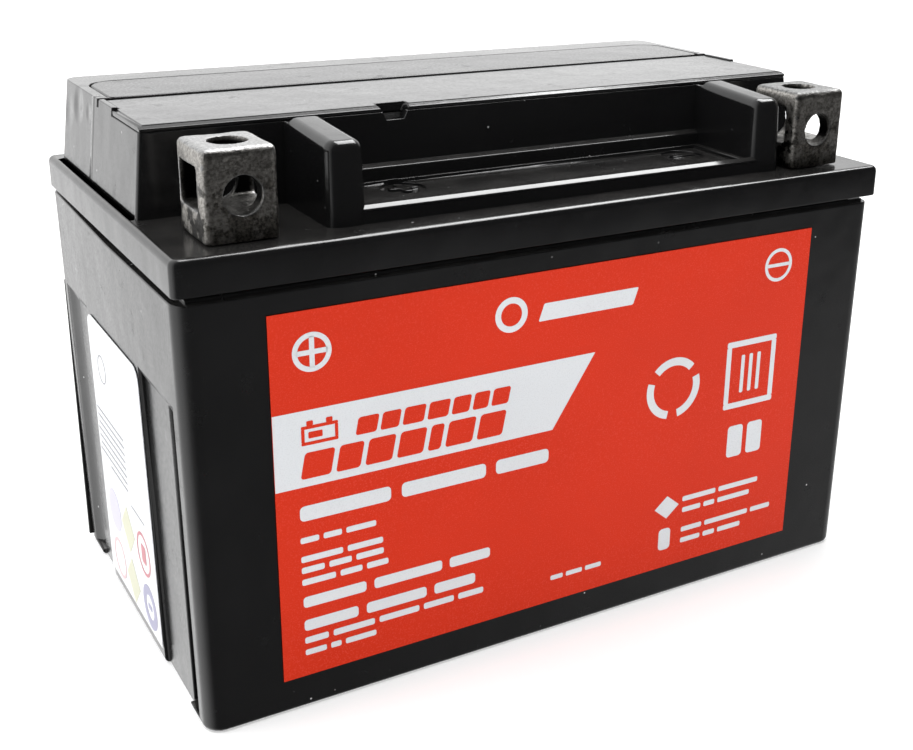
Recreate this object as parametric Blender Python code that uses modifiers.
"""A sealed 12 V motorcycle battery: six lead-acid cells in a ribbed polypropylene case, under a lid that
carries two box terminals, a safety valve for each cell and a press-in strip of filler plugs.

Dimensions are in millimetres and become metres where a mesh is made. X runs along the length with the
positive terminal at -X, -Y is the labelled front, and Z = 0 is the underside.
"""

import math

import bmesh
import bpy
from mathutils import Matrix, Vector

MM = 0.001
GAP = 0.3

# Envelope
LENGTH = 150.0
WIDTH = 87.0
HEIGHT = 105.0

# Case
RIM_OVERHANG_X = 0.35
RIM_OVERHANG_Y = 0.85
CASE_TOP = 81.6
CASE_HALF_X = LENGTH / 2 - RIM_OVERHANG_X
CASE_HALF_Y = WIDTH / 2 - RIM_OVERHANG_Y
CASE_DRAFT = 0.6
CASE_CORNER_FRONT = 3.4
CASE_CORNER_BACK = 1.9
CASE_FOOT_ROUND = 1.2
END_WALL = 3.9
SIDE_WALL = 2.4
CASE_FLOOR = 2.5

# Shadow line under the lid's rim: the heights of its ledge in front, and at places along the ends
SEAM_DEPTH_X = 2.0
SEAM_DEPTH_Y = 1.0
SEAM_FRONT = 80.9
SEAM_END = ((-50.0, 80.9), (0.0, 80.4), (42.0, 81.5))

# Ribbing on the case ends. The scoop's outline is a list of (depth, y).
PANEL_TOP = 62.0
PANEL_DEPTH = 0.9
PANEL_SLOPE = 2.2
SLOT_FRONT = -37.0
SLOT_BACK = -31.2
SLOT_DEPTH = 2.0
SLOT_FOOT = 1.2
PAD_FRONT = -15.8
PAD_BACK = 21.4
SCOOP = ((0.9, 32.2), (1.5, 34.0), (1.35, 35.2), (0.9, 36.6), (0.4, 37.8), (0.0, 38.8))
BEAD_FRONT = 41.2
BEAD_BACK = 42.0
BEAD_OUT = 0.7

# Cells
CELLS = 6
PARTITION = 1.8
CELL_HALF_Y = CASE_HALF_Y - SIDE_WALL
CELL_END_X = CASE_HALF_X - END_WALL
CELL_LENGTH = (2 * CELL_END_X - (CELLS - 1) * PARTITION) / CELLS

# Plates, separators and straps
NEGATIVE_PLATES = 4
POSITIVE_PLATES = 3
NEGATIVE_THICK = 1.6
POSITIVE_THICK = 2.1
SHEET_THICK = 0.9
PLATE_HALF_Y = 37.5
PLATE_FOOT = 3.5
PLATE_TOP = 68.0
SHEET_FOOT = 3.0
SHEET_TOP = 70.5
SHEET_TURN_Y = 38.7
LUG_Y = 31.8
LUG_WIDTH = 8.0
STRAP_FOOT = 72.0
STRAP_TOP = 76.0
TAB_TOP = 80.0
TAB_THICK = 2.0
TAB_GAP = 0.4
WELD_Z = 77.4
WELD_RADIUS = 2.1

# Lid
RIM_FOOT = 82.4
DECK = 88.7
DECK_UNDER = 86.2
RIM_CORNER = 1.6
RIM_ROUND = 1.2
LIP_FOOT = 80.3
LIP_WALL = 1.6
BLOCK_HALF_X = 71.0
BLOCK_DRAFT_X = 2.05
BLOCK_FRONT = -16.4
BLOCK_BACK = 38.8
BLOCK_DRAFT_Y = 0.9
BLOCK_WALL = 2.0
GUTTER = (72.8, 73.7)
GUTTER_Y = (-16.2, 37.6)
GUTTER_FLOOR = 87.5

# Fins and tray in front of the block
FIN_LEFT = (-45.8, -38.4)
FIN_RIGHT = (46.2, 53.4)
FIN_FRONT = -36.6
FIN_TOP = 104.5
FIN_DROP = 1.3
FIN_ROUND = 2.2
FIN_TOP_ROUND = 1.8
TRAY_FRONT = -36.9
TRAY_LIP = 91.3
TRAY_FLOOR = 90.6
TRAY_LIP_WALL = 1.2
TRAY_LIP_RISE = 0.55
TRAY_LEDGE = 93.8
TRAY_LEDGE_RISE = 1.2
TRAY_LEDGE_Y = -18.4
MARK_PLUS = (-25.4, -23.0)
MARK_MINUS = (38.4, -23.6)
MARK_RADIUS = 4.3

# Vent chamber, its cover and valves
COVER_FOOT = 103.8
COVER_TOP = 104.7
COVER_LEDGE = 1.1
COVER_LEDGE_DROP = 0.2
COVER_LEDGE_SLOPE = 0.35
COVER_BACK = 10.6
COVER_INSET_Y = 1.0
COVER_INSET_X = 69.6
CHAMBER_FLOOR = 96.0
CHAMBER_UNDER = 94.0
CHAMBER_HALF_X = 68.8
CHAMBER_BACK = 9.2
VALVE_Y = -3.0
STUB_RADIUS = 2.5
STUB_BORE = 1.2
STUB_TOP = 100.6
CAP_RADIUS = 4.2
CAP_TOP = 102.0
NOTCH_X = -23.5
NOTCH_TOP_WIDTH = 6.6
NOTCH_FOOT_WIDTH = 3.6
NOTCH_FOOT = 102.0

# Filler ports and their strip of plugs
TROUGH_FLOOR = 102.3
TROUGH_UNDER = 100.3
STRIP_FRONT = 11.7
STRIP_BACK = 30.8
STRIP_HALF_X = 68.7
STRIP_FOOT = TROUGH_FLOOR + GAP
STRIP_CORNER = 5.0
PORT_Y = (STRIP_FRONT + STRIP_BACK) / 2
PORT_RADIUS = 5.6
PORT_TUBE = 7.2
PORT_FOOT = 91.5
PLUG_RADIUS = 5.0
PLUG_FOOT = 93.0
SEAL_Z = 97.2
SEAL_RING = 4.75
SEAL_CORD = 0.6
SEAL_GROOVE = 3.85

# Terminals
TERMINAL_X = 61.3
TERMINAL_SIZE = (12.8, 13.6)
TERMINAL_Y = -32.0
BOLT_SHIFT = 0.3
TERMINAL_TOP = 104.5
TERMINAL_ROUND = 1.2
STEM_RADIUS = 4.5
STEM_FOOT = TAB_TOP + GAP
BOLT_RADIUS = 3.3
FRONT_BOLT_Z = 96.6
NUT_SLOT_Y = (-35.6, -26.6)
NUT_SLOT_Z = (93.8, 101.2)
STEM_HOLE = 4.8
BOSS_RADIUS = 7.8
BOSS_FOOT = 81.2
COUNTERBORE = 6.7
COUNTERBORE_TOP = 84.6
STEM_SEAL_Z = 83.4
STEM_SEAL_RING = 5.65
STEM_SEAL_CORD = 0.75

# Labels
FRONT_LABEL_X = (-59.7, 58.0)
FRONT_LABEL_Z = (7.0, 77.2)
END_LABEL_Z = (3.4, 61.2)
LABEL_THICK = 0.15
LABEL_GAP = 0.12

PLASTIC = ("black_polypropylene", (0.012, 0.012, 0.013), 0.32, 0.0)
LEAD = ("cast_lead", (0.42, 0.41, 0.39), 0.5, 1.0)
RUBBER = ("black_rubber", (0.02, 0.02, 0.02), 0.7, 0.0)
PASTE_POSITIVE = ("lead_dioxide_paste", (0.09, 0.035, 0.02), 0.85, 0.0)
PASTE_NEGATIVE = ("sponge_lead_paste", (0.25, 0.26, 0.27), 0.8, 0.0)
GLASS_MAT = ("glass_mat", (0.85, 0.85, 0.82), 0.95, 0.0)
FILTER = ("porous_plastic", (0.06, 0.06, 0.06), 0.9, 0.0)
RED_FILM = ("red_label_film", (0.65, 0.045, 0.015), 0.35, 0.0)
WHITE_FILM = ("white_label_film", (0.85, 0.86, 0.88), 0.35, 0.0)


# --- Scene set-up -------------------------------------------------------------------------------


def empty_scene():
    for item in list(bpy.data.objects):
        bpy.data.objects.remove(item, do_unlink=True)


def new_collection(name):
    collection = bpy.data.collections.new(name)
    bpy.context.scene.collection.children.link(collection)
    return collection


def material(spec):
    name, colour, roughness, metallic = spec
    found = bpy.data.materials.get(name)
    if found:
        return found
    made = bpy.data.materials.new(name)
    made.use_nodes = True
    shader = made.node_tree.nodes["Principled BSDF"]
    shader.inputs["Base Color"].default_value = (*colour, 1.0)
    shader.inputs["Roughness"].default_value = roughness
    shader.inputs["Metallic"].default_value = metallic
    made.diffuse_color = (*colour, 1.0)
    return made


empty_scene()
PARTS = new_collection("motorcycle_battery")
CUTTERS = new_collection("cutters")
CUTTERS.hide_render = True


def to_object(name, bm, spec=None):
    """A mesh object from a bmesh in millimetres: a part when it has a material, otherwise a helper."""
    bmesh.ops.scale(bm, vec=(MM, MM, MM), verts=bm.verts)
    bmesh.ops.recalc_face_normals(bm, faces=bm.faces)
    mesh = bpy.data.meshes.new(name)
    bm.to_mesh(mesh)
    bm.free()
    made = bpy.data.objects.new(name, mesh)
    if spec:
        PARTS.objects.link(made)
        mesh.materials.append(material(spec))
        mesh.shade_smooth()
        mesh.set_sharp_from_angle(angle=math.radians(35))
    else:
        CUTTERS.objects.link(made)
        made.hide_render = True
        made.display_type = "WIRE"
    return made


def boolean(target, operation, name, bm):
    """Adds a Boolean to the target, with the helper made from this bmesh."""
    helper = to_object(name, bm)
    modifier = target.modifiers.new(name, "BOOLEAN")
    modifier.operation = operation
    modifier.solver = "EXACT"
    modifier.object = helper


def cut(target, name, bm):
    boolean(target, "DIFFERENCE", name, bm)


def join(target, name, bm):
    boolean(target, "UNION", name, bm)


# --- Shapes, in millimetres ---------------------------------------------------------------------


def cube(bm, low, high):
    """A box between two corners. Returns its vertices."""
    size = Vector(high) - Vector(low)
    middle = (Vector(high) + Vector(low)) / 2
    turn = Matrix.Translation(middle) @ Matrix.Diagonal((*size, 1.0))
    return bmesh.ops.create_cube(bm, size=1.0, matrix=turn)["verts"]


def cylinder(bm, centre, radius, length, axis="Z", segments=24, tip=None):
    """A cylinder, or a cone with the tip's radius at its far end, with its middle at the centre."""
    quarter = math.pi / 2
    turns = {"X": Matrix.Rotation(quarter, 4, "Y"), "Y": Matrix.Rotation(quarter, 4, "X"), "Z": Matrix()}
    bmesh.ops.create_cone(
        bm,
        cap_ends=True,
        segments=segments,
        radius1=radius,
        radius2=radius if tip is None else tip,
        depth=length,
        matrix=Matrix.Translation(centre) @ turns[axis],
    )


def upright(bm, low, high, radius, segments=16):
    """A cylinder on the vertical line through low's X and Y, from one height to another."""
    cylinder(bm, (low[0], low[1], (low[2] + high) / 2), radius, high - low[2], "Z", segments)


def boxes(*corners):
    bm = bmesh.new()
    for low, high in corners:
        cube(bm, low, high)
    return bm


def prism(bm, first, second):
    """A solid between two outlines with the same number of points."""
    rings = [[bm.verts.new(point) for point in outline] for outline in (first, second)]
    bm.faces.new(rings[0])
    bm.faces.new(reversed(rings[1]))
    for index in range(len(first)):
        after = (index + 1) % len(first)
        bm.faces.new((rings[0][after], rings[0][index], rings[1][index], rings[1][after]))


def round_edges(bm, chosen, radius, segments=3):
    edges = [edge for edge in bm.edges if chosen(*(v.co for v in edge.verts))]
    bmesh.ops.bevel(
        bm,
        geom=edges,
        offset=radius,
        offset_type="OFFSET",
        segments=segments,
        profile=0.5,
        affect="EDGES",
        clamp_overlap=True,
    )


def is_upright(a, b):
    return abs(a.z - b.z) > 2 * (a.xy - b.xy).length


def at_height(z):
    return lambda a, b: abs(a.z - z) < 0.01 and abs(b.z - z) < 0.01


def drafted_box(low, high, draft_x, draft_y, wide_at_top=False):
    """A box whose top, or foot, is smaller on each side by the drafts."""
    bm = boxes((low, high))
    narrow_z = low[2] if wide_at_top else high[2]
    middle = (Vector(low) + Vector(high)) / 2
    for vert in bm.verts:
        if abs(vert.co.z - narrow_z) < 0.01:
            vert.co.x -= math.copysign(draft_x, vert.co.x - middle.x)
            vert.co.y -= math.copysign(draft_y, vert.co.y - middle.y)
    return bm


def ring(bm, centre, radius, cord, around=24, across=6):
    """A torus that lies flat, as a circle of its cord spun about the vertical."""
    start = Vector(centre) + Vector((radius, 0, 0))
    turn = Matrix.Translation(start) @ Matrix.Rotation(math.pi / 2, 4, "X")
    circle = bmesh.ops.create_circle(bm, cap_ends=False, radius=cord, segments=across, matrix=turn)
    outline = circle["verts"] + list({edge for vert in circle["verts"] for edge in vert.link_edges})
    bmesh.ops.spin(
        bm,
        geom=outline,
        cent=centre,
        axis=(0, 0, 1),
        angle=2 * math.pi,
        steps=around,
        use_merge=True,
    )
    bmesh.ops.remove_doubles(bm, verts=bm.verts, dist=0.001)


# --- Places that follow from the cells ----------------------------------------------------------


def cell_left(index):
    return -CELL_END_X + index * (CELL_LENGTH + PARTITION)


def cell_middle(index):
    return cell_left(index) + CELL_LENGTH / 2


def case_inset(z):
    """How far the drafted case walls stand in from their top, at a height."""
    return CASE_DRAFT * (CASE_TOP - z) / CASE_TOP


def positive_side(index):
    """-1 where a cell's positive strap is at the front, 1 where it is at the back."""
    return -1 if index % 2 == 0 else 1


# --- Case ---------------------------------------------------------------------------------------


def end_cutter(bm, side, outline, foot):
    """A cut in one end of the case with this outline of (depth, y), parallel to the drafted wall.

    Its top slopes: the deeper the cut, the lower it stops.
    """
    low, high = [], []
    for depth, y in outline:
        top = PANEL_TOP - PANEL_SLOPE * depth
        low.append((side * (CASE_HALF_X - depth - case_inset(foot)), y, foot))
        high.append((side * (CASE_HALF_X - depth - case_inset(top)), y, top))
    prism(bm, low, high)


def flat_cut(depth, y_low, y_high):
    """The outline of a plain cut, from outside the wall to a depth."""
    return ((-2.0, y_low), (depth, y_low), (depth, y_high), (-2.0, y_high))


def cut_seam(case):
    """The ledge outside the top of the wall, which leaves a dark line below the rim."""
    seam = boxes(((-LENGTH, -WIDTH, SEAM_FRONT), (LENGTH, -CASE_HALF_Y + SEAM_DEPTH_Y, CASE_TOP + 1)))
    cut(case, "cut_front_seam", seam)
    ends = bmesh.new()
    outline = [*SEAM_END, (SEAM_END[-1][0], CASE_TOP + 1), (SEAM_END[0][0], CASE_TOP + 1)]
    for side in (-1, 1):
        outer = [(side * (CASE_HALF_X + 2), y, z) for y, z in outline]
        inner = [(side * (CASE_HALF_X - SEAM_DEPTH_X), y, z) for y, z in outline]
        prism(ends, outer, inner)
    cut(case, "cut_end_seams", ends)


def end_bead(bm, side):
    """A thin upright bead at a rear corner, which keeps upright where the wall below the band draws in."""
    wall = -CASE_HALF_X + case_inset(PANEL_TOP)
    for vert in cube(bm, (wall + 0.02, BEAD_FRONT, SLOT_FOOT), (wall + 1.2, BEAD_BACK, PANEL_TOP)):
        if vert.co.x < wall + 0.1 and vert.co.z < PANEL_TOP - 1:
            vert.co.x += case_inset(SLOT_FOOT) - case_inset(PANEL_TOP) - BEAD_OUT
        vert.co.x *= -side


def make_case():
    low = (-CASE_HALF_X, -CASE_HALF_Y, 0)
    body = drafted_box(low, (CASE_HALF_X, CASE_HALF_Y, CASE_TOP), CASE_DRAFT, CASE_DRAFT, True)
    round_edges(body, lambda a, b: is_upright(a, b) and a.y < 0, CASE_CORNER_FRONT, 5)
    round_edges(body, lambda a, b: is_upright(a, b) and a.y > 0, CASE_CORNER_BACK, 3)
    round_edges(body, at_height(0), CASE_FOOT_ROUND, 3)
    case = to_object("battery_case", body, PLASTIC)

    panels = bmesh.new()
    slots = bmesh.new()
    for side in (-1, 1):
        end_cutter(panels, side, flat_cut(PANEL_DEPTH, SLOT_BACK - 0.2, PAD_FRONT), -2)
        end_cutter(panels, side, flat_cut(PANEL_DEPTH, PAD_BACK, SCOOP[0][1] + 0.1), -2)
        end_cutter(slots, side, flat_cut(SLOT_DEPTH, SLOT_FRONT, SLOT_BACK), SLOT_FOOT)
        end_cutter(slots, side, ((-2.0, SCOOP[0][1]), *SCOOP, (-2.0, SCOOP[-1][1])), SLOT_FOOT)
    cut(case, "cut_end_panels", panels)
    cut(case, "cut_end_slots", slots)
    beads = bmesh.new()
    end_bead(beads, -1)
    end_bead(beads, 1)
    join(case, "add_end_beads", beads)

    cells = bmesh.new()
    for index in range(CELLS):
        left = cell_left(index)
        cube(cells, (left, -CELL_HALF_Y, CASE_FLOOR), (left + CELL_LENGTH, CELL_HALF_Y, CASE_TOP + 2))
    cut(case, "cut_cells", cells)

    windows = bmesh.new()
    for index in range(CELLS - 1):
        wall = cell_left(index + 1) - PARTITION / 2
        y = -positive_side(index) * LUG_Y
        cylinder(windows, (wall, y, WELD_Z), WELD_RADIUS + GAP, PARTITION + 2, "X", 16)
    cut(case, "cut_partition_windows", windows)
    cut_seam(case)


# --- Plate groups, separators and the welds between cells ----------------------------------------


def stack_places(index):
    """The X of each plate and sheet of a cell, left to right, as (kind, low, high)."""
    order = ["negative"]
    for _ in range(POSITIVE_PLATES):
        order += ["sheet", "positive", "sheet", "negative"]
    thick = {"negative": NEGATIVE_THICK, "positive": POSITIVE_THICK, "sheet": SHEET_THICK}
    spare = (CELL_LENGTH - sum(thick[kind] for kind in order)) / (len(order) + 1)
    x = cell_left(index)
    places = []
    for kind in order:
        x += spare
        places.append((kind, x, x + thick[kind]))
        x += thick[kind]
    return places


def plate_group(index, kind, spec):
    """A comb of plates: their lugs cast into one strap, with a tab to the next cell or a terminal post."""
    side = positive_side(index) if kind == "positive" else -positive_side(index)
    y = side * LUG_Y
    left = cell_left(index)
    right = left + CELL_LENGTH
    plates = [place for place in stack_places(index) if place[0] == kind]
    last = index == CELLS - 1
    to_terminal = (index == 0 and kind == "positive") or (last and kind == "negative")
    strap_low = plates[0][1] - 0.5
    strap_high = plates[-1][2] + 0.5
    if kind == "positive" and not to_terminal:
        strap_low = left + TAB_GAP
    if kind == "negative" and not to_terminal:
        strap_high = right - TAB_GAP
    strap_low = max(strap_low, left + TAB_GAP)
    strap_high = min(strap_high, right - TAB_GAP)
    if to_terminal:
        post_x = math.copysign(TERMINAL_X, left)
        strap_low = min(strap_low, post_x - STEM_RADIUS - 0.5)
        strap_high = max(strap_high, post_x + STEM_RADIUS + 0.5)
    strap = boxes(((strap_low, y - LUG_WIDTH / 2, STRAP_FOOT), (strap_high, y + LUG_WIDTH / 2, STRAP_TOP)))
    group = to_object(f"{kind}_plate_group_{index + 1}", strap, spec)

    comb = bmesh.new()
    for _, low, high in plates:
        cube(comb, (low, -PLATE_HALF_Y, PLATE_FOOT), (high, PLATE_HALF_Y, PLATE_TOP))
    lugs = bmesh.new()
    for _, low, high in plates:
        inset = 0.2
        lug_low = (low + inset, y - LUG_WIDTH / 2 + 0.5, PLATE_TOP - 4)
        cube(lugs, lug_low, (high - inset, y + LUG_WIDTH / 2 - 0.5, STRAP_FOOT + 1))
    rise = bmesh.new()
    if to_terminal:
        upright(rise, (post_x, y, STRAP_TOP - 1), TAB_TOP, STEM_RADIUS)
    else:
        tab_low = strap_low if kind == "positive" else strap_high - TAB_THICK
        foot = (tab_low, y - LUG_WIDTH / 2 + 0.5, STRAP_TOP - 1)
        cube(rise, foot, (tab_low + TAB_THICK, y + LUG_WIDTH / 2 - 0.5, TAB_TOP))
    join(group, f"lugs_{kind}_{index + 1}", lugs)
    join(group, f"comb_{kind}_{index + 1}", comb)
    join(group, f"rise_{kind}_{index + 1}", rise)


def make_separator(index):
    """One glass-mat sheet, folded back and forth between the plates."""
    sheets = [(low + high) / 2 for kind, low, high in stack_places(index) if kind == "sheet"]
    route = []
    side = -1
    for x in sheets:
        route += [(x, side * SHEET_TURN_Y), (x, -side * SHEET_TURN_Y)]
        side = -side
    bm = bmesh.new()
    points = [bm.verts.new((x, y, SHEET_FOOT)) for x, y in route]
    edges = [bm.edges.new(pair) for pair in zip(points, points[1:])]
    raised = bmesh.ops.extrude_edge_only(bm, edges=edges)["geom"]
    for vert in raised:
        if isinstance(vert, bmesh.types.BMVert):
            vert.co.z = SHEET_TOP
    sheet = to_object(f"separator_{index + 1}", bm, GLASS_MAT)
    solid = sheet.modifiers.new("thickness", "SOLIDIFY")
    solid.thickness = SHEET_THICK * MM
    solid.offset = 0.0
    solid.use_even_offset = True


def make_cells():
    for index in range(CELLS):
        plate_group(index, "negative", PASTE_NEGATIVE)
        plate_group(index, "positive", PASTE_POSITIVE)
        make_separator(index)
    for index in range(CELLS - 1):
        wall = cell_left(index + 1) - PARTITION / 2
        length = PARTITION + 2 * TAB_GAP - 2 * GAP
        weld = bmesh.new()
        cylinder(weld, (wall, -positive_side(index) * LUG_Y, WELD_Z), WELD_RADIUS, length, "X", 16)
        to_object(f"partition_weld_{index + 1}", weld, LEAD)


# --- Lid ----------------------------------------------------------------------------------------


def add_block(lid):
    """The raised rear block, drafted, with soft top edges and round rear corners."""
    low = (-BLOCK_HALF_X - BLOCK_DRAFT_X, BLOCK_FRONT - BLOCK_DRAFT_Y, DECK - 0.5)
    high = (BLOCK_HALF_X + BLOCK_DRAFT_X, BLOCK_BACK + BLOCK_DRAFT_Y, HEIGHT)
    block = drafted_box(low, high, BLOCK_DRAFT_X, BLOCK_DRAFT_Y)
    round_edges(block, lambda a, b: is_upright(a, b) and a.y > 0, 3.0, 4)
    round_edges(block, lambda a, b: is_upright(a, b) and a.y < 0, 0.7, 2)
    round_edges(block, lambda a, b: at_height(HEIGHT)(a, b) and max(a.y, b.y) > BLOCK_FRONT + 2, 1.7, 3)
    join(lid, "add_block", block)


def add_fins(lid):
    for name, (left, right) in (("left", FIN_LEFT), ("right", FIN_RIGHT)):
        fin = drafted_box((left, FIN_FRONT - 0.6, DECK - 0.5), (right, BLOCK_FRONT + 2, FIN_TOP), 0.3, 0.6)
        round_edges(fin, lambda a, b: is_upright(a, b) and a.y < FIN_FRONT + 2, FIN_ROUND, 4)
        round_edges(fin, at_height(FIN_TOP), FIN_TOP_ROUND, 4)
        for vert in fin.verts:
            if vert.co.z > FIN_TOP - FIN_TOP_ROUND - 0.1:
                vert.co.z -= FIN_DROP * (BLOCK_FRONT - vert.co.y) / (BLOCK_FRONT - FIN_FRONT)
        join(lid, f"add_{name}_fin", fin)


def add_tray(lid):
    left = FIN_LEFT[1] - 1
    right = FIN_RIGHT[0] + 1
    plateau = drafted_box((left, TRAY_FRONT, DECK - 0.4), (right, BLOCK_FRONT + 1, TRAY_LIP), 0.0, 0.4)
    join(lid, "add_tray", plateau)
    ledge = boxes(((left, TRAY_LEDGE_Y, DECK - 0.3), (right, BLOCK_FRONT + 1, TRAY_LEDGE)))
    round_edges(ledge, lambda a, b: at_height(TRAY_LEDGE)(a, b) and max(a.y, b.y) < TRAY_LEDGE_Y + 1, 0.5, 2)
    for vert in ledge.verts:
        if vert.co.z > TRAY_LEDGE - 1 and vert.co.y > BLOCK_FRONT:
            vert.co.z += TRAY_LEDGE_RISE
    join(lid, "add_tray_ledge", ledge)
    low = (FIN_LEFT[1] + 1.3, TRAY_FRONT + TRAY_LIP_WALL, TRAY_FLOOR)
    high = (FIN_RIGHT[0] - 1.3, TRAY_LEDGE_Y - 0.6, TRAY_LEDGE + 2)
    cut(lid, "cut_tray", boxes((low, high)))
    front, back = TRAY_FRONT + 0.05, TRAY_FRONT + TRAY_LIP_WALL
    outline = (
        (front, TRAY_LIP - 0.4),
        (front, TRAY_LIP - 0.05),
        (back, TRAY_LIP + TRAY_LIP_RISE),
        (back, TRAY_LIP - 0.4),
    )
    lip = bmesh.new()
    prism(lip, [(left, y, z) for y, z in outline], [(right, y, z) for y, z in outline])
    join(lid, "add_tray_lip", lip)


def polarity_marks(lid):
    """A plus and a minus, raised in shallow round dishes in the tray's floor."""
    dishes = bmesh.new()
    for x, y in (MARK_PLUS, MARK_MINUS):
        upright(dishes, (x, y, TRAY_FLOOR - 0.4), TRAY_FLOOR + 1, MARK_RADIUS, 32)
    cut(lid, "cut_mark_dishes", dishes)
    long, short = 5.6, 1.5
    foot, top = TRAY_FLOOR - 0.6, TRAY_FLOOR + 0.1
    for number, (place, size) in enumerate(
        ((MARK_PLUS, (long, short)), (MARK_PLUS, (short, long)), (MARK_MINUS, (long, short)))
    ):
        low = (place[0] - size[0] / 2, place[1] - size[1] / 2, foot)
        high = (place[0] + size[0] / 2, place[1] + size[1] / 2, top)
        join(lid, f"add_mark_{number + 1}", boxes((low, high)))


def cut_gutters(lid):
    """A narrow gutter along the foot of each end of the block."""
    gutters = bmesh.new()
    for side in (-1, 1):
        inner, outer = sorted(side * x for x in GUTTER)
        cube(gutters, (inner, GUTTER_Y[0], GUTTER_FLOOR), (outer, GUTTER_Y[1], DECK + 0.6))
    cut(lid, "cut_gutters", gutters)


def hollow_underside(lid):
    """A pocket above each cell: under the deck, under the vent chamber and under the filler trough."""
    deck, front, back = bmesh.new(), bmesh.new(), bmesh.new()
    lip_x = CELL_END_X - GAP - LIP_WALL
    lip_y = CELL_HALF_Y - GAP - LIP_WALL
    for index in range(CELLS):
        left = max(cell_left(index), -lip_x)
        right = min(cell_left(index) + CELL_LENGTH, lip_x)
        cube(deck, (left, -lip_y, LIP_FOOT - 2), (right, lip_y, DECK_UNDER))
        cube(front, (left, BLOCK_FRONT + BLOCK_WALL, DECK_UNDER - 1), (right, lip_y - 1.2, CHAMBER_UNDER))
        cube(back, (left, STRIP_FRONT - 0.3, CHAMBER_UNDER - 1), (right, lip_y - 1.7, TROUGH_UNDER))
    cut(lid, "cut_deck_pockets", deck)
    cut(lid, "cut_chamber_pockets", front)
    cut(lid, "cut_trough_pockets", back)

    slots = bmesh.new()
    for index in range(CELLS - 1):
        wall = cell_left(index + 1) - PARTITION / 2
        half = PARTITION / 2 + GAP
        cube(slots, (wall - half, -CELL_HALF_Y - 1, LIP_FOOT - 1), (wall + half, CELL_HALF_Y + 1, RIM_FOOT))
    cut(lid, "cut_partition_slots", slots)


def open_top(lid):
    """The seat of the vent cover, the chamber below it, and the trough of the filler strip."""
    seat = COVER_FOOT - GAP
    over = HEIGHT + 2
    reach = BLOCK_HALF_X + 4
    step = COVER_INSET_Y + GAP
    cut(lid, "cut_cover_seat_front", boxes(((-reach, BLOCK_FRONT - 2, seat), (reach, step, over))))
    back = COVER_BACK + GAP
    edge = COVER_INSET_X + GAP
    cut(lid, "cut_cover_seat_back", boxes(((-edge, step - 1, seat), (edge, back, over))))
    groove = boxes(((-reach, COVER_BACK, seat), (reach, STRIP_FRONT, over)))
    cut(lid, "cut_groove", groove)
    low = (-CHAMBER_HALF_X, BLOCK_FRONT + BLOCK_WALL, CHAMBER_FLOOR)
    cut(lid, "cut_chamber", boxes((low, (CHAMBER_HALF_X, CHAMBER_BACK, over))))
    cut(lid, "cut_trough", strip_outline(STRIP_FRONT - GAP, GAP, TROUGH_FLOOR, over))


def strip_outline(front, grow, foot, top):
    """The filler strip's plan as a solid: a bar with round rear corners."""
    bm = boxes(((-STRIP_HALF_X - grow, front, foot), (STRIP_HALF_X + grow, STRIP_BACK + grow, top)))
    round_edges(bm, lambda a, b: is_upright(a, b) and a.y > PORT_Y, STRIP_CORNER + grow, 5)
    round_edges(bm, lambda a, b: is_upright(a, b) and a.y < front + 0.1, 1.0, 2)
    return bm


def vent_notch(foot, top):
    """A tapered slot through the front wall, by which gas leaves the chamber."""
    bm = boxes(((NOTCH_X - 1, BLOCK_FRONT - 2, foot), (NOTCH_X + 1, BLOCK_FRONT + BLOCK_WALL + 1, top)))
    slope = (NOTCH_TOP_WIDTH - NOTCH_FOOT_WIDTH) / 2 / (HEIGHT - NOTCH_FOOT)
    for vert in bm.verts:
        half = NOTCH_FOOT_WIDTH / 2 + slope * (vert.co.z - NOTCH_FOOT)
        vert.co.x = NOTCH_X + math.copysign(half, vert.co.x - NOTCH_X)
    return bm


def add_ports(lid):
    tubes, bores = bmesh.new(), bmesh.new()
    stubs, stub_bores = bmesh.new(), bmesh.new()
    for index in range(CELLS):
        x = cell_middle(index)
        upright(tubes, (x, PORT_Y, PORT_FOOT), TROUGH_UNDER + 1, PORT_TUBE, 24)
        upright(bores, (x, PORT_Y, PORT_FOOT - 1), TROUGH_FLOOR + 1, PORT_RADIUS, 24)
        upright(stubs, (x, VALVE_Y, CHAMBER_FLOOR - 1), STUB_TOP, STUB_RADIUS, 16)
        upright(stub_bores, (x, VALVE_Y, CHAMBER_UNDER - 1), STUB_TOP + 1, STUB_BORE, 12)
    join(lid, "add_port_tubes", tubes)
    cut(lid, "cut_ports", bores)
    join(lid, "add_valve_stubs", stubs)
    cut(lid, "cut_valve_bores", stub_bores)


def terminal_seats(lid):
    bosses, counterbores, holes = bmesh.new(), bmesh.new(), bmesh.new()
    for x in (-TERMINAL_X, TERMINAL_X):
        upright(bosses, (x, -LUG_Y, BOSS_FOOT), DECK_UNDER + 1, BOSS_RADIUS, 24)
        upright(counterbores, (x, -LUG_Y, BOSS_FOOT - 1), COUNTERBORE_TOP, COUNTERBORE, 24)
        upright(holes, (x, -LUG_Y, BOSS_FOOT - 1), DECK + 1, STEM_HOLE, 24)
    join(lid, "add_terminal_bosses", bosses)
    cut(lid, "cut_seal_seats", counterbores)
    cut(lid, "cut_stem_holes", holes)


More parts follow.
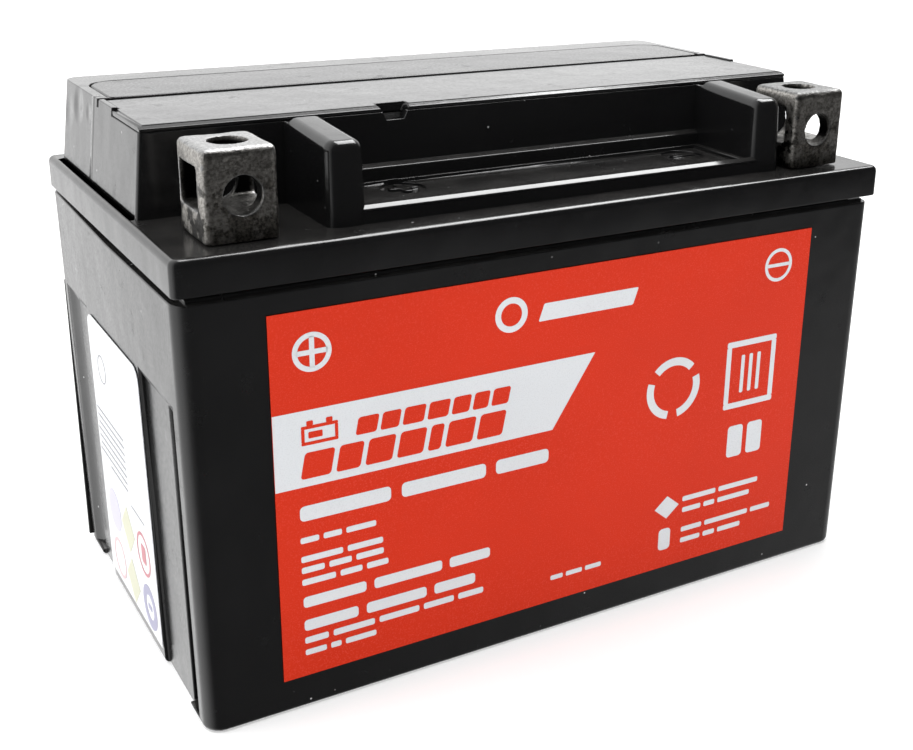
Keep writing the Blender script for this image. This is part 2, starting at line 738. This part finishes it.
def make_lid():
    low = (-LENGTH / 2, -WIDTH / 2, RIM_FOOT)
    rim = boxes((low, (LENGTH / 2, WIDTH / 2, DECK)))
    round_edges(rim, is_upright, RIM_CORNER, 4)
    round_edges(rim, at_height(DECK), RIM_ROUND, 3)
    lid = to_object("lid", rim, PLASTIC)
    lip_x = CELL_END_X - GAP
    lip_y = CELL_HALF_Y - GAP
    join(lid, "add_lip", boxes(((-lip_x, -lip_y, LIP_FOOT), (lip_x, lip_y, RIM_FOOT + 1))))
    add_block(lid)
    add_fins(lid)
    add_tray(lid)
    polarity_marks(lid)
    cut_gutters(lid)
    hollow_underside(lid)
    open_top(lid)
    cut(lid, "cut_vent_notch", vent_notch(NOTCH_FOOT, HEIGHT))
    add_ports(lid)
    terminal_seats(lid)


# --- Vent cover, arrestor and valves -------------------------------------------------------------


def make_vent_cover():
    """The plate over the vent chamber, with a lip that locates it and the gas notch in its front edge."""
    half = BLOCK_HALF_X
    top_half = half - 0.8
    ledge = COVER_TOP - COVER_LEDGE_DROP
    plate = boxes(((-half, BLOCK_FRONT, COVER_FOOT), (half, COVER_INSET_Y, ledge)))
    bmesh.ops.bisect_plane(
        plate,
        geom=plate.verts[:] + plate.edges[:] + plate.faces[:],
        plane_co=(0, BLOCK_FRONT + COVER_LEDGE, 0),
        plane_no=(0, 1, 0),
    )
    for vert in plate.verts:
        if vert.co.z > ledge - 0.01 and vert.co.y < BLOCK_FRONT + 0.01:
            vert.co.z -= COVER_LEDGE_SLOPE
    cover = to_object("vent_cover", plate, PLASTIC)
    low = (-top_half, BLOCK_FRONT + COVER_LEDGE, ledge - 0.3)
    join(cover, "add_cover_top", boxes((low, (top_half, COVER_INSET_Y, COVER_TOP))))
    low = (-COVER_INSET_X, COVER_INSET_Y - 2, COVER_FOOT)
    join(cover, "add_cover_back", boxes((low, (COVER_INSET_X, COVER_BACK, COVER_TOP))))
    low = (-CHAMBER_HALF_X + GAP, BLOCK_FRONT + BLOCK_WALL + GAP, COVER_FOOT - 0.9)
    lip = boxes((low, (CHAMBER_HALF_X - GAP, CHAMBER_BACK - GAP, COVER_FOOT + 0.5)))
    join(cover, "add_cover_lip", lip)
    cut(cover, "cut_cover_notch", vent_notch(COVER_FOOT - 2, HEIGHT + 1))


def make_arrestor():
    """The porous flame arrestor that stands across the gas notch, inside the chamber."""
    front = BLOCK_FRONT + BLOCK_WALL + GAP
    low = (NOTCH_X - 6.5, front + 1.4, CHAMBER_FLOOR + GAP)
    plate = boxes((low, (NOTCH_X + 6.5, front + 3.4, COVER_FOOT - 0.9 - GAP)))
    to_object("flame_arrestor", plate, FILTER)


def make_valves():
    """A rubber cap over each valve stub. Its skirt seals until gas pressure lifts it."""
    bore = STUB_RADIUS + GAP
    for index in range(CELLS):
        x = cell_middle(index)
        bm = bmesh.new()
        upright(bm, (x, VALVE_Y, CHAMBER_FLOOR + GAP), CAP_TOP, CAP_RADIUS, 20)
        round_edges(bm, at_height(CAP_TOP), 0.6, 2)
        cap = to_object(f"valve_cap_{index + 1}", bm, RUBBER)
        inside = bmesh.new()
        upright(inside, (x, VALVE_Y, CHAMBER_FLOOR - 1), STUB_TOP + GAP, bore, 20)
        cut(cap, f"cut_valve_cap_{index + 1}", inside)


# --- Filler strip and its seals -------------------------------------------------------------------


def make_plug_strip():
    strip = strip_outline(STRIP_FRONT, 0.0, STRIP_FOOT, HEIGHT)
    round_edges(strip, at_height(HEIGHT), 0.4, 2)
    made = to_object("plug_strip", strip, PLASTIC)
    plugs = bmesh.new()
    grooves = bmesh.new()
    cores = bmesh.new()
    for index in range(CELLS):
        x = cell_middle(index)
        upright(plugs, (x, PORT_Y, PLUG_FOOT), STRIP_FOOT + 1, PLUG_RADIUS, 24)
        half = SEAL_CORD + GAP
        upright(grooves, (x, PORT_Y, SEAL_Z - half), SEAL_Z + half, PLUG_RADIUS + 1, 24)
        upright(cores, (x, PORT_Y, SEAL_Z - half - 1), SEAL_Z + half + 1, SEAL_GROOVE, 24)
    join(made, "add_plugs", plugs)
    cut(made, "cut_seal_grooves", grooves)
    join(made, "add_plug_cores", cores)
    for index in range(CELLS):
        bm = bmesh.new()
        ring(bm, (cell_middle(index), PORT_Y, SEAL_Z), SEAL_RING, SEAL_CORD)
        to_object(f"plug_seal_{index + 1}", bm, RUBBER)


# --- Terminals ------------------------------------------------------------------------------------


def make_terminal(name, x):
    """A cast box with a nut slot from side to side, a bolt hole in front and one on top, on a round stem."""
    half_x = TERMINAL_SIZE[0] / 2
    half_y = TERMINAL_SIZE[1] / 2
    foot = DECK + GAP
    low = (x - half_x, TERMINAL_Y - half_y, foot)
    body = boxes((low, (x + half_x, TERMINAL_Y + half_y, TERMINAL_TOP)))
    round_edges(body, is_upright, TERMINAL_ROUND, 3)
    round_edges(body, at_height(TERMINAL_TOP), TERMINAL_ROUND, 3)
    terminal = to_object(f"{name}_terminal", body, LEAD)
    stem = bmesh.new()
    upright(stem, (x, -LUG_Y, STEM_FOOT), foot + 2, STEM_RADIUS, 20)
    join(terminal, f"add_{name}_stem", stem)
    low = (x - half_x - 1, NUT_SLOT_Y[0], NUT_SLOT_Z[0])
    slot = boxes((low, (x + half_x + 1, NUT_SLOT_Y[1], NUT_SLOT_Z[1])))
    round_edges(slot, lambda a, b: abs(a.x - b.x) > 1, 0.6, 2)
    cut(terminal, f"cut_{name}_nut_slot", slot)
    hole_x = x - math.copysign(BOLT_SHIFT, x)
    front = bmesh.new()
    cylinder(front, (hole_x, TERMINAL_Y, FRONT_BOLT_Z), BOLT_RADIUS, TERMINAL_SIZE[1] + 2, "Y", 28)
    cut(terminal, f"cut_{name}_front_hole", front)
    top = bmesh.new()
    upright(top, (hole_x, TERMINAL_Y, NUT_SLOT_Z[1] - 2), TERMINAL_TOP + 1, BOLT_RADIUS, 28)
    cut(terminal, f"cut_{name}_top_hole", top)

    seal = bmesh.new()
    ring(seal, (x, -LUG_Y, STEM_SEAL_Z), STEM_SEAL_RING, STEM_SEAL_CORD)
    to_object(f"{name}_terminal_seal", seal, RUBBER)


# --- Labels ---------------------------------------------------------------------------------------


def make_front_label():
    low = (FRONT_LABEL_X[0], -CASE_HALF_Y - LABEL_GAP - LABEL_THICK, FRONT_LABEL_Z[0])
    film = boxes((low, (FRONT_LABEL_X[1], -CASE_HALF_Y - LABEL_GAP, FRONT_LABEL_Z[1])))
    for vert in film.verts:
        vert.co.y += case_inset(vert.co.z)
    to_object("front_label", film, RED_FILM)


def make_end_label():
    low = (-CASE_HALF_X - LABEL_GAP - LABEL_THICK, PAD_FRONT + 0.2, END_LABEL_Z[0])
    film = boxes((low, (-CASE_HALF_X - LABEL_GAP, PAD_BACK - 0.2, END_LABEL_Z[1])))
    round_edges(film, lambda a, b: abs(a.x - b.x) > 0.1 and a.z > 50, 3.0, 4)
    for vert in film.verts:
        vert.co.x += case_inset(vert.co.z)
    to_object("end_label", film, WHITE_FILM)


make_case()
make_cells()
make_lid()
make_vent_cover()
make_arrestor()
make_valves()
make_plug_strip()
make_terminal("positive", -TERMINAL_X)
make_terminal("negative", TERMINAL_X)
make_front_label()
make_end_label()
